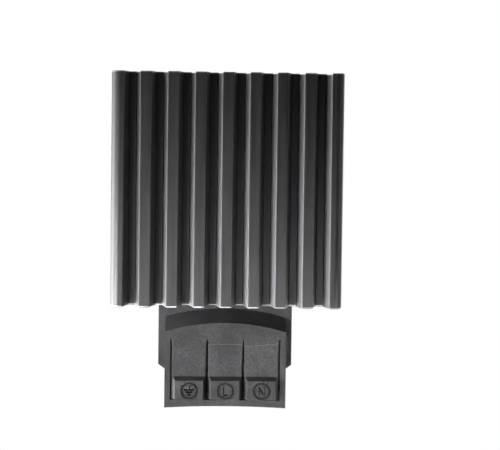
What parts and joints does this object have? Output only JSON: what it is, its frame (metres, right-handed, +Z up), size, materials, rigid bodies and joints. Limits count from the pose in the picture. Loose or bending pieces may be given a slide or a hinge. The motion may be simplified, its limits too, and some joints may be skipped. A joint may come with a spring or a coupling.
{
  "type": "enclosure heater",
  "caption": "Rail-mounted cabinet heater: a vertically ribbed, black anodised aluminium extrusion over a moulded terminal block with sprung press tabs for the wires.",
  "frame": {"origin": "middle of the rail seat, on the plane where the rail's flanges touch the clip", "axes": "+Z up as it hangs on the rail, -Y out of the ribbed front, +X to the viewer's right"},
  "size_m": [0.07, 0.0509, 0.1008],
  "materials": {
    "anodised_aluminium": "black anodised, satin",
    "black_plastic": "fine moulded texture",
    "spring_steel": "rolled",
    "contact_brass": "stamped",
    "heating_ceramic": "fired ceramic",
    "bare_aluminium": "mill",
    "amber_film": "polyimide film",
    "lead_silicone": "extruded silicone",
    "seal_rubber": "moulded silicone",
    "zinc_steel": "zinc plated"
  },
  "bodies": {
    "heater": {"heatsink_profile": "anodised_aluminium", "terminal_base": "black_plastic", "terminal_cover": "black_plastic", "clamp_spring_earth": "spring_steel", "clamp_spring_live": "spring_steel", "clamp_spring_neutral": "spring_steel", "contact_bar_earth": "contact_brass", "contact_bar_live": "contact_brass", "contact_bar_neutral": "contact_brass", "ptc_elements": "heating_ceramic", "electrode_live": "bare_aluminium", "electrode_neutral": "bare_aluminium", "insulation_sleeve": "amber_film", "wedge_seat": "bare_aluminium", "pressure_wedge": "bare_aluminium", "lead_live": "lead_silicone", "lead_neutral": "lead_silicone", "lead_seal": "seal_rubber", "top_plug": "seal_rubber", "base_screws": "zinc_steel", "rail_clip": "spring_steel", "clip_screws": "zinc_steel"},
    "earth_tab": {"press_tab_earth": "black_plastic"},
    "live_tab": {"press_tab_live": "black_plastic"},
    "neutral_tab": {"press_tab_neutral": "black_plastic"}
  },
  "joints": [
    {"name": "earth_press", "type": "hinge", "parent": "heater", "child": "earth_tab", "pos_m": [-0.01085, -0.0432, -0.0454], "axis": [1, 0, 0], "range_deg": [0, 6], "stiffness_Nm_per_rad": 1.5, "deforming": ["clamp_spring_earth"]},
    {"name": "live_press", "type": "hinge", "parent": "heater", "child": "live_tab", "pos_m": [0, -0.0432, -0.0454], "axis": [1, 0, 0], "range_deg": [0, 6], "stiffness_Nm_per_rad": 1.5, "deforming": ["clamp_spring_live"]},
    {"name": "neutral_press", "type": "hinge", "parent": "heater", "child": "neutral_tab", "pos_m": [0.01085, -0.0432, -0.0454], "axis": [1, 0, 0], "range_deg": [0, 6], "stiffness_Nm_per_rad": 1.5, "deforming": ["clamp_spring_neutral"]}
  ]
}
